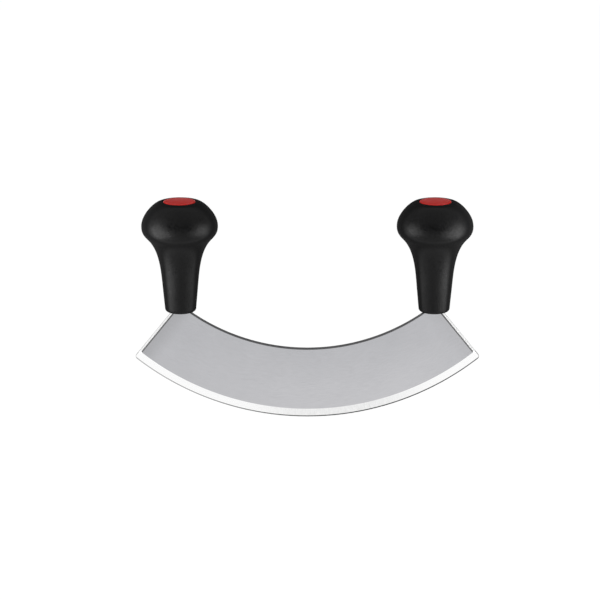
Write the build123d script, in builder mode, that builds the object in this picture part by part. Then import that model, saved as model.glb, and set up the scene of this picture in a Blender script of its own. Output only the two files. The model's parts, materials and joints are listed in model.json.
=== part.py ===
from build123d import *
import math
import os

os.makedirs("parts", exist_ok=True)

# A mezzaluna: one curved blade with a palm knob on each horn.
# Lengths are in millimetres. +X runs along the blade and +Z is up. The origin is the lowest point of the
# cutting edge, in the middle of the blade's thickness.

# Blade plate
blade_thickness = 3.0
blade_depth = 48.2
edge_radius = 180.6
cutting_chord = 231.8
end_lean_degrees = 38.7
tip_corner_radius = 2.4
spine_round = 0.75

# Cutting bevel, ground on both faces, and the steeper honed strip below it down to a narrow land
bevel_width = 5.9
hone_width = 0.5
hone_thickness = 0.6
edge_land = 0.2

# Border ground along each end: a narrow step, then a shallow facet out to the end face
border_step_width = 0.75
border_step_depth = 0.3
border_facet_width = 1.2
border_facet_fall = 0.15

# Shoulder on each horn, where a knob stands, and the tang above it
shoulder_width = 11.8
tang_width = 10.0
tang_height = 14.0
tang_corner_chamfer = 1.0

# Knob outline
handle_height = 75.0
foot_radius = 10.2
foot_round = 2.2
bulb_radius = 25.35
shaft_swell = 1.3
shaft_height_share = 0.188
under_height_share = 0.657
under_radius_share = 0.818
crown_height_share = 0.7735
brow_height_share = 0.843
brow_radius_share = 0.96
temple_height_share = 0.985
temple_radius_share = 0.6
dome_edge_degrees = 5.0
seat_rim_chamfer = 0.2

# Fixing inside each knob
rod_radius = 2.5
rod_end_chamfer = 0.5
rod_proud = 2.0
fork_radius = 4.0
fork_crown_height = 4.0
socket_depth = 27.0
washer_radius = 5.0
washer_thickness = 1.0
nut_across_flats = 8.0
nut_height = 4.0
nut_chamfer_degrees = 30.0

# Cap, which stands a little proud of the knob round it
cap_radius = 10.7
cap_thickness = 2.4
cap_proud = 0.25
cap_crown_rise = 0.2
cap_rim_round = 1.0
skirt_length = 6.0
skirt_wall = 1.2
bead_rise = 0.2
bead_height = 1.0

# Clearances, the overrun of cuts, and how near two radii are when they count as the same
bore_clearance = 0.2
end_clearance = 0.3
socket_clearance = 1.0
thread_clearance = 0.05
cap_clearance = 0.15
skirt_clearance = 0.1
overrun = 2.0
same_radius = 0.01

# Sizes and places that follow from those above; heights in a knob are measured from its foot
spine_radius = edge_radius - blade_depth
half_thickness = blade_thickness / 2
half_chord = cutting_chord / 2
end_lean = math.radians(end_lean_degrees)
tip_height = edge_radius - math.sqrt(edge_radius**2 - half_chord**2)
border_depth = border_step_depth + border_facet_fall
border_width = border_step_width + border_facet_width
tang_thickness = blade_thickness - 2 * border_depth


def shoulder_rise():
    """Height above the tip at which the horn, measured level, has narrowed to the shoulder's width."""
    across = half_chord - shoulder_width
    below = edge_radius - tip_height
    middle = across * math.tan(end_lean) + below
    square = 1 + math.tan(end_lean) ** 2
    rest = across**2 + below**2 - spine_radius**2
    return (middle - math.sqrt(middle**2 - square * rest)) / square


shoulder_height = tip_height + shoulder_rise()
shoulder_outer = half_chord - shoulder_rise() * math.tan(end_lean)
shoulder_inner = shoulder_outer - shoulder_width
end_length = shoulder_rise() / math.cos(end_lean)
handle_x = (shoulder_outer + shoulder_inner) / 2

shaft_height = handle_height * shaft_height_share
under_height = handle_height * under_height_share
crown_height = handle_height * crown_height_share
brow_height = handle_height * brow_height_share
temple_height = handle_height * temple_height_share
shaft_radius = foot_radius + shaft_swell
cap_top_height = handle_height + cap_proud
cap_base_height = cap_top_height - cap_thickness
cap_seat_radius = cap_radius + cap_clearance
cap_seat_depth = cap_thickness - cap_proud
fork_height = tang_height + fork_crown_height
nut_seat_height = handle_height - socket_depth
nut_base_height = nut_seat_height + washer_thickness
nut_top_height = nut_base_height + nut_height
nut_flat_radius = nut_across_flats / 2
nut_corner_radius = nut_flat_radius / math.cos(math.pi / 6)
nut_corner_cut = (nut_corner_radius - nut_flat_radius) * math.tan(math.radians(nut_chamfer_degrees))
rod_top_height = nut_top_height + rod_proud
socket_radius = washer_radius + socket_clearance
skirt_radius = socket_radius - skirt_clearance
bead_radius = socket_radius + bead_rise
bead_middle_height = cap_base_height - skirt_length + bead_height / 2

arc_axis = Axis((0, 0, edge_radius), (0, 1, 0))

# Blade: the plate is cut out between its two arcs, and each horn ends level at its shoulder
with BuildPart() as blade:
    with BuildSketch(Plane.XZ):
        with BuildLine():
            tip = (half_chord, tip_height)
            cutting_arc = ThreePointArc((-half_chord, tip_height), (0, 0), tip)
            right_horn = Polyline(
                tip, (shoulder_outer, shoulder_height), (shoulder_inner, shoulder_height)
            )
            spine_arc = ThreePointArc(
                right_horn @ 1, (0, blade_depth), (-shoulder_inner, shoulder_height)
            )
            Polyline(spine_arc @ 1, (-shoulder_outer, shoulder_height), cutting_arc @ 0)
        make_face()
    extrude(amount=half_thickness, both=True)

    # Outer corners of the blade are rounded
    tip_edges = blade.edges().filter_by(Axis.Y).group_by(Axis.Z)[0]
    fillet(tip_edges, tip_corner_radius)

    # The hand arc is rounded on both sides
    spine_edges = (
        blade.edges()
        .filter_by(GeomType.CIRCLE)
        .filter_by(lambda edge: abs(edge.radius - spine_radius) < same_radius)
    )
    fillet(spine_edges, spine_round)

    # Cutting bevel and honed strip on both faces, two cones about the arcs' common axis
    with BuildSketch(Plane.YZ):
        for face in (-1, 1):
            with BuildLine():
                Polyline(
                    (face * half_thickness, bevel_width),
                    (face * hone_thickness / 2, hone_width),
                    (face * edge_land / 2, 0),
                    (face * edge_land / 2, -overrun),
                    (face * (half_thickness + overrun), -overrun),
                    (face * (half_thickness + overrun), bevel_width),
                    close=True,
                )
            make_face()
    revolve(axis=arc_axis, mode=Mode.SUBTRACT)

    # Ground border along each end, on both faces: one section is run along the end line
    for end in (-1, 1):
        along = Vector(-end * math.sin(end_lean), 0, math.cos(end_lean))
        end_plane = Plane(origin=(end * half_chord, 0, tip_height), x_dir=(0, 1, 0), z_dir=along)
        with BuildSketch(end_plane.offset(-overrun)):
            for face in (-1, 1):
                with BuildLine():
                    Polyline(
                        (face * half_thickness, end * border_width),
                        (face * (half_thickness - border_step_depth), end * border_facet_width),
                        (face * (half_thickness - border_depth), 0),
                        (face * (half_thickness - border_depth), -end * overrun),
                        (face * (half_thickness + overrun), -end * overrun),
                        (face * (half_thickness + overrun), end * border_width),
                        close=True,
                    )
                make_face()
        extrude(amount=end_length + 2 * overrun, mode=Mode.SUBTRACT)

    # Tang on each shoulder, thinner than the plate so that the shoulder carries the knob
    for end in (-1, 1):
        with BuildSketch(Plane(origin=(end * handle_x, 0, shoulder_height))):
            Rectangle(tang_width, tang_thickness)
        extrude(amount=tang_height)
    tang_corners = blade.edges().filter_by(Axis.Y).group_by(Axis.Z)[-1]
    chamfer(tang_corners, tang_corner_chamfer)

blade.part.label = "blade"
export_step(blade.part, "parts/blade.step")

for side, sign in (("left", -1), ("right", 1)):
    foot = Vector(sign * handle_x, 0, shoulder_height)
    upright = Plane(origin=foot, x_dir=(1, 0, 0), z_dir=(0, -1, 0))
    level = Plane(origin=foot)
    handle_axis = Axis(foot, (0, 0, 1))

    # Handle: a turned palm knob on a tapering shaft, with a stepped bore for the fixing
    with BuildPart() as handle:
        with BuildSketch(upright):
            with BuildLine():
                floor = Line((0, 0), (foot_radius, 0))
                shaft = Line(floor @ 1, (shaft_radius, shaft_height))
                under = Spline(
                    shaft @ 1,
                    (bulb_radius * under_radius_share, under_height),
                    (bulb_radius, crown_height),
                    tangents=(shaft % 1, (0, 1)),
                )
                dome = Spline(
                    under @ 1,
                    (bulb_radius * brow_radius_share, brow_height),
                    (bulb_radius * temple_radius_share, temple_height),
                    (cap_seat_radius, handle_height),
                    tangents=((0, 1), Vector(-1, 0).rotate(Axis.Z, -dome_edge_degrees)),
                )
                Polyline(dome @ 1, (0, handle_height), (0, 0))
            make_face()
        revolve(axis=handle_axis)
        foot_edge = handle.edges().filter_by(GeomType.CIRCLE).group_by(Axis.Z)[0]
        fillet(foot_edge, foot_round)

        # Seat for the cap, then the nut's socket and the rod's bore
        with Locations(level.offset(handle_height)):
            Hole(cap_seat_radius, depth=cap_seat_depth)
            CounterBoreHole(
                rod_radius + bore_clearance, socket_radius, socket_depth, depth=handle_height + overrun
            )

        seat_rim = handle.edges().filter_by(GeomType.CIRCLE).group_by(Axis.Z)[-1]
        chamfer(seat_rim, seat_rim_chamfer)

        # Groove for the cap's snap bead
        with BuildSketch(upright):
            with Locations((socket_radius, bead_middle_height)):
                Rectangle(2 * (bead_rise + skirt_clearance), bead_height + 2 * skirt_clearance)
        revolve(axis=handle_axis, mode=Mode.SUBTRACT)

        # Bore for the forked foot of the rod, and the slot that keys the knob on the tang
        with BuildSketch(level):
            Circle(fork_radius + bore_clearance)
        extrude(amount=fork_height + end_clearance, mode=Mode.SUBTRACT)
        with BuildSketch(level):
            Rectangle(tang_width + 2 * bore_clearance, tang_thickness + 2 * bore_clearance)
        extrude(amount=tang_height + end_clearance, mode=Mode.SUBTRACT)

    handle.part.label = f"{side}_handle"
    export_step(handle.part, f"parts/{side}_handle.step")

    # Tang rod: a forked foot that stands astride the tang, and a threaded rod up to the nut
    with BuildPart() as tang_rod:
        with BuildSketch(level):
            Circle(fork_radius)
        extrude(amount=fork_height)
        with BuildSketch(level.offset(fork_height)):
            Circle(rod_radius)
        extrude(amount=rod_top_height - fork_height)
        round_edges = tang_rod.edges().filter_by(GeomType.CIRCLE)
        rod_end = round_edges.group_by(Axis.Z)[-1]
        fork_crown = round_edges.filter_by(lambda edge: edge.radius > rod_radius).group_by(Axis.Z)[-1]
        chamfer(rod_end + fork_crown, rod_end_chamfer)
        with BuildSketch(level):
            Rectangle(2 * (fork_radius + overrun), tang_thickness)
        extrude(amount=tang_height, mode=Mode.SUBTRACT)

    tang_rod.part.label = f"{side}_tang_rod"
    export_step(tang_rod.part, f"parts/{side}_tang_rod.step")

    # Washer on the floor of the socket
    with BuildPart() as washer:
        with BuildSketch(level.offset(nut_seat_height)):
            Circle(washer_radius)
            Circle(rod_radius + bore_clearance, mode=Mode.SUBTRACT)
        extrude(amount=washer_thickness)

    washer.part.label = f"{side}_washer"
    export_step(washer.part, f"parts/{side}_washer.step")

    # Nut: a hexagon whose corners are turned off at both ends
    with BuildPart() as nut:
        with BuildSketch(level.offset(nut_base_height)):
            RegularPolygon(nut_flat_radius, side_count=6, major_radius=False)
            Circle(rod_radius + thread_clearance, mode=Mode.SUBTRACT)
        extrude(amount=nut_height)
        with BuildSketch(upright):
            with BuildLine():
                Polyline(
                    (0, nut_base_height),
                    (nut_flat_radius, nut_base_height),
                    (nut_corner_radius, nut_base_height + nut_corner_cut),
                    (nut_corner_radius, nut_top_height - nut_corner_cut),
                    (nut_flat_radius, nut_top_height),
                    (0, nut_top_height),
                    close=True,
                )
            make_face()
        revolve(axis=handle_axis, mode=Mode.INTERSECT)

    nut.part.label = f"{side}_nut"
    export_step(nut.part, f"parts/{side}_nut.step")

    # Cap: a slightly crowned disc on a hollow skirt with a snap bead
    with BuildPart() as cap:
        with BuildSketch(upright) as cap_section:
            with BuildLine():
                crown = TangentArc(
                    (0, cap_top_height + cap_crown_rise), (cap_radius, cap_top_height), tangent=(1, 0)
                )
                Polyline(
                    crown @ 1,
                    (cap_radius, cap_base_height),
                    (skirt_radius, cap_base_height),
                    (skirt_radius, bead_middle_height + bead_height / 2),
                    (bead_radius, bead_middle_height),
                    (skirt_radius, bead_middle_height - bead_height / 2),
                    (skirt_radius - skirt_wall, bead_middle_height - bead_height / 2),
                    (skirt_radius - skirt_wall, cap_base_height),
                    (0, cap_base_height),
                    crown @ 0,
                )
            make_face()
            rim_corner = cap_section.vertices().group_by(Axis.X)[-1].sort_by(Axis.Y)[-1]
            fillet(rim_corner, cap_rim_round)
        revolve(axis=handle_axis)

    cap.part.label = f"{side}_cap"
    export_step(cap.part, f"parts/{side}_cap.step")
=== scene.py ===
import json
import math

import bmesh
import bpy
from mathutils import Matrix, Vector

# A mezzaluna on a pale studio floor. Lengths are in metres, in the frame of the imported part:
# +X runs along the blade, +Z is up and the cutting edge touches the floor at the origin.
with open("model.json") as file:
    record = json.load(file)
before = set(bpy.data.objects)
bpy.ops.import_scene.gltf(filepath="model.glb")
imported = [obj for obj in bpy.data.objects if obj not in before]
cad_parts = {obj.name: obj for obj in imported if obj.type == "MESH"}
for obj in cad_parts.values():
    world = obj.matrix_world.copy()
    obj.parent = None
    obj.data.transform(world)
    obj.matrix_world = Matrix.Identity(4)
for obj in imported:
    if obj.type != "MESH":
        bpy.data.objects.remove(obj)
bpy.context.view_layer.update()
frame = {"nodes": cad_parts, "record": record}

millimetre = 0.001

# Blade outline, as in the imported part
edge_radius = 180.6 * millimetre
blade_depth = 48.2 * millimetre
half_chord = 231.8 * millimetre / 2
end_lean = math.radians(38.7)
tip_radius = 2.4 * millimetre
tip_height = edge_radius - math.sqrt(edge_radius**2 - half_chord**2)

# Widths of the blade's zones, and the soft edges between their finishes
bevel_width = 5.9 * millimetre
hone_width = 0.5 * millimetre
facet_width = 1.2 * millimetre
step_width = 0.75 * millimetre
border_width = facet_width + step_width
spine_width = 0.92 * millimetre
zone_blur = 0.06 * millimetre
hone_fade = (hone_width + 3 * zone_blur, hone_width + 7 * zone_blur)
outline_fade = (3 * zone_blur, 6 * zone_blur)
border_fade = (border_width, border_width + 6 * zone_blur)

# Where along X the satin's painted sheen and the painted shade on the bevel and the honed strip are
# strongest, and the distances from there at which each starts and is full
sheen_and_shade_middle = 20.0 * millimetre
sheen_reach = (161.0 * millimetre, 25.0 * millimetre)
shaded_streak_reach = (68.0 * millimetre, 20.0 * millimetre)
hone_shade_middle = 42.0 * millimetre
hone_shade_reach = (168.0 * millimetre, 10.0 * millimetre)

# Tones of the blade. The satin's painted sheen gives its light tone a share from the first value at the
# hand arc to the second at the bevel, and beside the left and the right border the satin turns to the
# darker grey by the given shares.
satin_dark = (0.450, 0.456, 0.478, 1.0)
satin_light = (0.685, 0.678, 0.700, 1.0)
sheen_range = (0.22, 0.66)
cloud_share = 0.3
polish_share = 0.35
darker_grey = 0.20
border_dark_width = 13.0 * millimetre
border_dark_shares = (0.26, 0.11)
ground_greys = (0.98, 0.86)
# Painted shade on the bevel round the middle, with soft streaks
shaded_streak_greys = (0.72, 0.91)
# The honed strip, painted dark as shade, darkest round one place
hone_shade_greys = (0.44, 0.006)
# The end facet, painted darker at the rim as an outline of shade
facet_greys = (0.60, 0.76)
# The step between the face and the facet, painted nearly black as a dark reflection
step_shade_grey = 0.036
# The hand arc, painted dark as a dark reflection
spine_shade_colour = (0.12, 0.12, 0.123, 1.0)

# Gloss and marks of the blade. A stretch below 1 lengthens the marks in that direction.
satin_roughness = (0.20, 0.30)
ground_roughness = (0.16, 0.28)
spine_roughness = 0.45
polish_stretch = 0.03
grind_stretch = 0.05
polish_noise = {"scale": 5200.0, "detail": 3.0, "roughness": 0.6}
grind_noise = {"scale": 4200.0, "detail": 3.0, "roughness": 0.65}
streak_noise = {"scale": 900.0, "detail": 2.0, "roughness": 0.5}
cloud_noise = {"scale": 28.0, "detail": 2.0, "roughness": 0.5}
mark_strength = 0.25
mark_depth = 0.002 * millimetre

# Moulded plastics. The grazing fade runs over Layer Weight's Facing value.
knob_look = {
    "dark": (0.0004, 0.0004, 0.0005, 1.0),
    "light": (0.0020, 0.0020, 0.0022, 1.0),
    "specular": 0.16,
    "roughness": 0.40,
    "grazing_roughness": 1.0,
    "mottle_gloss": 0.30,
    "grain_size": 0.75 * millimetre,
    "grain_depth": 0.28 * millimetre,
}
cap_look = {
    "dark": (0.47, 0.011, 0.008, 1.0),
    "light": (0.50, 0.014, 0.010, 1.0),
    "specular": 0.17,
    "roughness": 0.28,
    "grazing_roughness": 0.28,
    "mottle_gloss": 0.08,
    "grain_size": 0.9 * millimetre,
    "grain_depth": 0.02 * millimetre,
}
grain_detail = 3.0
grain_strength = 0.5
mottle_detail = 2.0
mottle_size = 2.0
mottle_range = (0.25, 0.75)
plastic_noise_roughness = 0.6
facing_blend = 0.5
grazing_fade = (0.25, 0.52)

# Machined steel inside the knobs
fixing_dark = (0.50, 0.50, 0.48, 1.0)
fixing_light = (0.60, 0.60, 0.57, 1.0)
fixing_roughness = (0.28, 0.42)
turning_noise = {"scale": 3800.0, "detail": 2.0, "roughness": 0.5}
fixing_cloud_noise = {"scale": 240.0, "detail": 3.0, "roughness": 0.5}
turning_strength = 0.3
turning_depth = 0.02 * millimetre

# Camera of the photograph, whose frame is square
image_side = 600
target_column = 307.35
target_row = 309.38
focal_pixels = 2747.9
sensor_width = 36.0
camera_target = Vector((0.0, 0.0, 0.075))
camera_distance = 1.8319
camera_elevation = math.radians(15.93)

# Studio
floor_radius = 12.0
backdrop_height = 1.6
backdrop_sides = 96
sweep_steps = 8
floor_albedo = 0.7
floor_glow = 0.955
floor_shade = 0.09
sky_level = 0.08
ceiling_level = 0.52
ceiling_width = math.radians(110.0)
panel_level = 5.8
panel_width = 0.34
panel_foot = Vector((0.23, -0.18, 0.02))
panel_head = Vector((0.58, -0.18, 0.42))


def grey(level):
    """An opaque grey."""
    return (level, level, level, 1.0)


def add_node(tree, kind, inputs=None, **settings):
    """Adds a node with its settings, and gives each named input a value or a link."""
    made = tree.nodes.new(kind)
    for name, value in settings.items():
        setattr(made, name, value)
    for socket, value in (inputs or {}).items():
        if isinstance(value, bpy.types.NodeSocket):
            tree.links.new(value, made.inputs[socket])
        else:
            made.inputs[socket].default_value = value
    return made


def calculate(tree, operation, *values):
    """The output of a Math node."""
    made = add_node(tree, "ShaderNodeMath", dict(enumerate(values)), operation=operation)
    return made.outputs["Value"]


def hypotenuse(tree, first, second):
    """The square root of the sum of two squares."""
    squares = [calculate(tree, "MULTIPLY", value, value) for value in (first, second)]
    return calculate(tree, "SQRT", calculate(tree, "ADD", *squares))


def distance_from(tree, value, middle):
    """How far value is from middle, on either side."""
    return calculate(tree, "ABSOLUTE", calculate(tree, "SUBTRACT", value, middle))


def smooth_mask(tree, value, start, end):
    """0 up to start and 1 from end, with a soft edge between them."""
    inputs = {"Value": value, "From Min": start, "From Max": end}
    made = add_node(tree, "ShaderNodeMapRange", inputs, interpolation_type="SMOOTHSTEP")
    return made.outputs["Result"]


def remap(tree, value, low, high):
    """value, from 0 to 1, stretched between low and high."""
    inputs = {"Value": value, "To Min": low, "To Max": high}
    return add_node(tree, "ShaderNodeMapRange", inputs).outputs["Result"]


def mix_colours(tree, factor, first, second):
    """A colour between first and second."""
    made = add_node(tree, "ShaderNodeMix", data_type="RGBA")
    sockets = {"Factor_Float": factor, "A_Color": first, "B_Color": second}
    for name, value in sockets.items():
        socket = next(s for s in made.inputs if s.identifier == name)
        if isinstance(value, bpy.types.NodeSocket):
            tree.links.new(value, socket)
        else:
            socket.default_value = value
    return next(s for s in made.outputs if s.identifier == "Result_Color")


def mix_greys(tree, factor, first, second):
    """A grey between two levels."""
    return mix_colours(tree, factor, grey(first), grey(second))


def mix_values(tree, factor, first, second):
    """A number between first and second."""
    inputs = {"Factor": factor, "A": first, "B": second}
    return add_node(tree, "ShaderNodeMix", inputs, data_type="FLOAT").outputs["Result"]


def combine(tree, x, y, z):
    """A vector from its three parts."""
    return add_node(tree, "ShaderNodeCombineXYZ", {"X": x, "Y": y, "Z": z}).outputs["Vector"]


def noise(tree, vector, scale, detail, roughness):
    """Noise from 0 to 1 along vector, with scale in features a metre."""
    inputs = {"Vector": vector, "Scale": scale, "Detail": detail, "Roughness": roughness}
    return add_node(tree, "ShaderNodeTexNoise", inputs).outputs["Fac"]


def bump(tree, height, strength, distance):
    """A normal tilted by the height given."""
    inputs = {"Height": height, "Strength": strength, "Distance": distance}
    return add_node(tree, "ShaderNodeBump", inputs).outputs["Normal"]


def new_material(name):
    """A material, its node tree and its Principled shader."""
    material = bpy.data.materials.new(name)
    material.use_nodes = True
    return material, material.node_tree, material.node_tree.nodes["Principled BSDF"]


def row_position(tree):
    """The place of the shaded point in the part's own frame, and its X, Y and Z."""
    place = add_node(tree, "ShaderNodeTexCoord").outputs["Object"]
    return place, add_node(tree, "ShaderNodeSeparateXYZ", {"Vector": place}).outputs


def blade_distances(tree, parts):
    """Distances of the point below and from the arcs' axis, from the cutting edge and from the end."""
    across = calculate(tree, "ABSOLUTE", parts["X"])
    below_axis = calculate(tree, "SUBTRACT", edge_radius, parts["Z"])
    from_axis = hypotenuse(tree, across, below_axis)
    from_edge = calculate(tree, "SUBTRACT", edge_radius, from_axis)
    beside_tip = calculate(tree, "SUBTRACT", half_chord, across)
    above_tip = calculate(tree, "SUBTRACT", parts["Z"], tip_height)
    from_end = calculate(
        tree,
        "SUBTRACT",
        calculate(tree, "MULTIPLY", beside_tip, math.cos(end_lean)),
        calculate(tree, "MULTIPLY", above_tip, math.sin(end_lean)),
    )
    return below_axis, from_axis, from_edge, from_end


def blade_zones(tree, from_edge, from_end):
    """Masks that are 1 above the honed strip, above the bevel, inside the blade's rim, inside the end's
    facet, inside its border, and on the hand arc. They fade to 0 on the other side."""
    into_corner = [
        calculate(tree, "MAXIMUM", calculate(tree, "SUBTRACT", tip_radius, distance), 0.0)
        for distance in (from_edge, from_end)
    ]
    from_rim = calculate(tree, "SUBTRACT", tip_radius, hypotenuse(tree, *into_corner))
    spine_start = blade_depth - spine_width
    return {
        "above_hone": smooth_mask(tree, from_edge, *hone_fade),
        "above_bevel": smooth_mask(tree, from_edge, bevel_width - zone_blur, bevel_width + zone_blur),
        "inside_outline": smooth_mask(tree, from_rim, *outline_fade),
        "inside_facet": smooth_mask(tree, from_end, facet_width - zone_blur, facet_width + zone_blur),
        "inside_border": smooth_mask(tree, from_end, *border_fade),
        "on_hand_arc": smooth_mask(tree, from_edge, spine_start, spine_start + zone_blur),
    }


def blade_marks(tree, place, parts, below_axis, from_axis):
    """Noise for the polishing marks along the blade, for the grinding marks and streaks square to
    the cutting edge, and for a faint cloud."""
    angle = calculate(tree, "ARCTAN2", parts["X"], below_axis)
    along = calculate(tree, "MULTIPLY", angle, edge_radius)
    polish_place = combine(tree, calculate(tree, "MULTIPLY", along, polish_stretch), parts["Y"], from_axis)
    grind_place = combine(tree, along, parts["Y"], calculate(tree, "MULTIPLY", from_axis, grind_stretch))
    return {
        "polish": noise(tree, polish_place, **polish_noise),
        "grind": noise(tree, grind_place, **grind_noise),
        "streak": noise(tree, grind_place, **streak_noise),
        "cloud": noise(tree, place, **cloud_noise),
    }


def blade_colour(tree, parts, from_edge, from_end, zones, marks):
    """Satin face with a painted sheen, bright ground bevel and end facet, and a step, honed strip, rim
    outline and hand arc painted dark as shade and as dark reflections.
    """
    # The satin carries a painted sheen, brighter towards the bevel and round a place right of the middle,
    # and turns darker beside the borders, more at the left
    sheen_towards_bevel = smooth_mask(tree, from_edge, blade_depth, bevel_width)
    aside = distance_from(tree, parts["X"], sheen_and_shade_middle)
    sheen_towards_middle = smooth_mask(tree, aside, *sheen_reach)
    rightwards = smooth_mask(tree, parts["X"], -half_chord, half_chord)
    tone = calculate(tree, "MULTIPLY", remap(tree, sheen_towards_bevel, *sheen_range), sheen_towards_middle)
    tone = mix_values(tree, cloud_share, tone, marks["cloud"])
    satin = mix_colours(tree, tone, satin_dark, satin_light)
    satin = mix_colours(tree, remap(tree, marks["polish"], 0.0, polish_share), satin, grey(darker_grey))
    near_border = smooth_mask(tree, from_end, border_width + border_dark_width, border_width)
    border_darkening = calculate(tree, "MULTIPLY", near_border, remap(tree, rightwards, *border_dark_shares))
    satin = mix_colours(tree, border_darkening, satin, grey(darker_grey))

    # The bevel is painted darker, with soft streaks, round the place of the satin's sheen, as shade; the
    # honed strip is painted dark as shade, darkest a little further right
    ground = mix_greys(tree, marks["grind"], *ground_greys)
    shaded_streaks = mix_greys(tree, marks["streak"], *shaded_streak_greys)
    ground = mix_colours(tree, smooth_mask(tree, aside, *shaded_streak_reach), ground, shaded_streaks)
    beside_hone = distance_from(tree, parts["X"], hone_shade_middle)
    honed = mix_greys(tree, smooth_mask(tree, beside_hone, *hone_shade_reach), *hone_shade_greys)
    bright = mix_colours(tree, zones["above_hone"], honed, ground)
    # An outline of painted shade runs round the rim: the honed strip's dark on the bevel, a darker grey on
    # the facet
    bright = mix_colours(tree, zones["inside_outline"], honed, bright)

    facet = mix_greys(tree, zones["inside_outline"], *facet_greys)
    # The step is painted nearly black, as a dark reflection
    stepped = mix_colours(tree, zones["inside_facet"], facet, grey(step_shade_grey))
    colour = mix_colours(tree, zones["inside_border"], stepped, satin)
    colour = mix_colours(tree, zones["above_bevel"], bright, colour)
    # The hand arc is painted dark, as a dark reflection
    return mix_colours(tree, zones["on_hand_arc"], colour, spine_shade_colour)


def blade_gloss(tree, zones, marks):
    """The roughness of each zone, with its marks in it."""
    satin = remap(tree, marks["polish"], *satin_roughness)
    ground = remap(tree, marks["grind"], *ground_roughness)
    rough = mix_values(tree, zones["inside_border"], ground, satin)
    rough = mix_values(tree, zones["above_bevel"], ground, rough)
    return mix_values(tree, zones["on_hand_arc"], rough, spine_roughness)


def blade_steel():
    """Polished satin steel with ground edges, with a painted sheen and painted shade."""
    material, tree, shader = new_material("blade_steel_finish")
    place, parts = row_position(tree)
    below_axis, from_axis, from_edge, from_end = blade_distances(tree, parts)
    zones = blade_zones(tree, from_edge, from_end)
    marks = blade_marks(tree, place, parts, below_axis, from_axis)
    colour = blade_colour(tree, parts, from_edge, from_end, zones, marks)
    tree.links.new(colour, shader.inputs["Base Color"])
    tree.links.new(blade_gloss(tree, zones, marks), shader.inputs["Roughness"])
    height = mix_values(tree, zones["above_bevel"], marks["grind"], marks["polish"])
    tree.links.new(bump(tree, height, mark_strength, mark_depth), shader.inputs["Normal"])
    shader.inputs["Metallic"].default_value = 1.0
    return material


def moulded_plastic(
    name, dark, light, specular, roughness, grazing_roughness, mottle_gloss, grain_size, grain_depth
):
    """Satin moulding with a fine grain and a faint mottle. Its gloss can fall off at a grazing view."""
    material, tree, shader = new_material(name)
    place = add_node(tree, "ShaderNodeTexCoord").outputs["Object"]
    grain = noise(tree, place, 1.0 / grain_size, grain_detail, plastic_noise_roughness)
    mottle = noise(tree, place, 1.0 / (mottle_size * grain_size), mottle_detail, plastic_noise_roughness)
    colour = mix_colours(tree, smooth_mask(tree, mottle, *mottle_range), dark, light)
    tree.links.new(colour, shader.inputs["Base Color"])
    rough = remap(tree, mottle, roughness - mottle_gloss, roughness + mottle_gloss)
    facing = add_node(tree, "ShaderNodeLayerWeight", {"Blend": facing_blend}).outputs["Facing"]
    rough = mix_values(tree, smooth_mask(tree, facing, *grazing_fade), rough, grazing_roughness)
    tree.links.new(rough, shader.inputs["Roughness"])
    tree.links.new(bump(tree, grain, grain_strength, grain_depth), shader.inputs["Normal"])
    shader.inputs["Specular IOR Level"].default_value = specular
    return material


def fixing_steel():
    """Plain machined steel with fine turning marks."""
    material, tree, shader = new_material("fixing_steel_finish")
    place, parts = row_position(tree)
    lines = noise(tree, combine(tree, 0.0, 0.0, parts["Z"]), **turning_noise)
    cloud = noise(tree, place, **fixing_cloud_noise)
    colour = mix_colours(tree, cloud, fixing_dark, fixing_light)
    tree.links.new(colour, shader.inputs["Base Color"])
    tree.links.new(remap(tree, lines, *fixing_roughness), shader.inputs["Roughness"])
    tree.links.new(bump(tree, lines, turning_strength, turning_depth), shader.inputs["Normal"])
    shader.inputs["Metallic"].default_value = 1.0
    return material


def finish_nodes():
    """Gives each CAD node the finish of its slot."""
    finishes = {
        "blade_steel": blade_steel(),
        "knob_plastic": moulded_plastic("knob_plastic_finish", **knob_look),
        "cap_plastic": moulded_plastic("cap_plastic_finish", **cap_look),
        "fixing_steel": fixing_steel(),
    }
    for part in frame["record"]["subparts"]:
        node = frame["nodes"][part["node"]]
        for material_slot in node.material_slots:
            material_slot.material = finishes[part["material_slot"]]


def floor_paper():
    """Pale paper that looks white to the camera and in reflections, and keeps the object's shadow."""
    material = bpy.data.materials.new("floor_paper")
    material.use_nodes = True
    tree = material.node_tree
    tree.nodes.clear()
    rays = add_node(tree, "ShaderNodeLightPath").outputs
    shown = calculate(tree, "MAXIMUM", rays["Is Camera Ray"], rays["Is Glossy Ray"])
    shown = calculate(tree, "MAXIMUM", shown, rays["Is Transmission Ray"])
    paper = add_node(tree, "ShaderNodeBsdfDiffuse", {"Color": grey(floor_albedo)})
    seen_paper = add_node(tree, "ShaderNodeBsdfDiffuse", {"Color": grey(floor_shade)})
    glow = add_node(tree, "ShaderNodeEmission", {"Color": grey(1.0), "Strength": floor_glow})
    seen = add_node(tree, "ShaderNodeAddShader", {0: seen_paper.outputs[0], 1: glow.outputs[0]})
    both = add_node(tree, "ShaderNodeMixShader", {0: shown, 1: paper.outputs[0], 2: seen.outputs[0]})
    output = add_node(tree, "ShaderNodeOutputMaterial")
    tree.links.new(both.outputs[0], output.inputs["Surface"])
    return material


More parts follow.
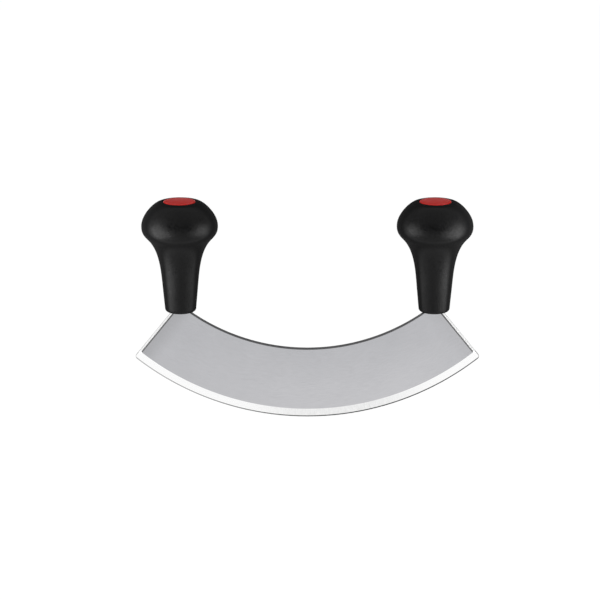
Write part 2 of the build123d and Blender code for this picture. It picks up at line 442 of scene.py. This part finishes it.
def studio_floor():
    """A wide round floor that sweeps up into a low backdrop all round."""
    mesh = bpy.data.meshes.new("floor")
    shape = bmesh.new()
    turns = [2 * math.pi * side / backdrop_sides for side in range(backdrop_sides)]
    rings = []
    for step in range(sweep_steps + 1):
        rise = math.pi / 2 * step / sweep_steps
        radius = floor_radius - backdrop_height * (1.0 - math.sin(rise))
        height = backdrop_height * (1.0 - math.cos(rise))
        corners = [(radius * math.cos(turn), radius * math.sin(turn), height) for turn in turns]
        rings.append([shape.verts.new(corner) for corner in corners])
    shape.faces.new(rings[0])
    for lower, upper in zip(rings, rings[1:]):
        for side in range(backdrop_sides):
            near = (side + 1) % backdrop_sides
            shape.faces.new((lower[side], lower[near], upper[near], upper[side])).smooth = True
    shape.to_mesh(mesh)
    shape.free()
    mesh.materials.append(floor_paper())
    floor = bpy.data.objects.new("floor", mesh)
    bpy.context.scene.collection.objects.link(floor)


def softbox(name, place, aim, width, height, level):
    """A rectangular lamp whose face has the level given, where 1 is white. The camera doesn't see it."""
    data = bpy.data.lights.new(name, "AREA")
    data.shape = "RECTANGLE"
    data.size = width
    data.size_y = height
    data.energy = level * math.pi * width * height
    lamp = bpy.data.objects.new(name, data)
    lamp.location = place
    lamp.rotation_euler = (aim - place).to_track_quat("-Z", "Y").to_euler()
    lamp.visible_camera = False
    bpy.context.scene.collection.objects.link(lamp)


def studio_lights():
    """A faint sky, a wide soft light from above, and a panel on each side of the object."""
    world = bpy.data.worlds.new("studio")
    world.use_nodes = True
    background = world.node_tree.nodes["Background"]
    background.inputs["Color"].default_value = grey(1.0)
    background.inputs["Strength"].default_value = sky_level
    bpy.context.scene.world = world
    ceiling_data = bpy.data.lights.new("ceiling", "SUN")
    ceiling_data.energy = ceiling_level * math.pi
    ceiling_data.angle = ceiling_width
    ceiling = bpy.data.objects.new("ceiling", ceiling_data)
    bpy.context.scene.collection.objects.link(ceiling)

    # Each panel leans outward, from just above the floor to well above the knobs
    rise = panel_head - panel_foot
    middle = (panel_foot + panel_head) / 2
    for name, side in (("left_panel", -1), ("right_panel", 1)):
        place = Vector((side * middle.x, middle.y, middle.z))
        aim = place + Vector((-side * rise.z, 0.0, rise.x))
        softbox(name, place, aim, panel_width, rise.length, panel_level)


def photo_camera():
    """The photograph's own view of the part."""
    data = bpy.data.cameras.new("photo_camera")
    data.sensor_width = sensor_width
    data.lens = focal_pixels / image_side * sensor_width
    data.shift_x = (image_side / 2 - target_column) / image_side
    data.shift_y = (target_row - image_side / 2) / image_side
    camera = bpy.data.objects.new("photo_camera", data)
    away = Vector((0.0, -math.cos(camera_elevation), math.sin(camera_elevation)))
    camera.location = camera_target + away * camera_distance
    camera.rotation_euler = (-away).to_track_quat("-Z", "Y").to_euler()
    bpy.context.scene.collection.objects.link(camera)
    bpy.context.scene.camera = camera


finish_nodes()
studio_floor()
studio_lights()
photo_camera()
bpy.context.scene.view_settings.view_transform = "Standard"
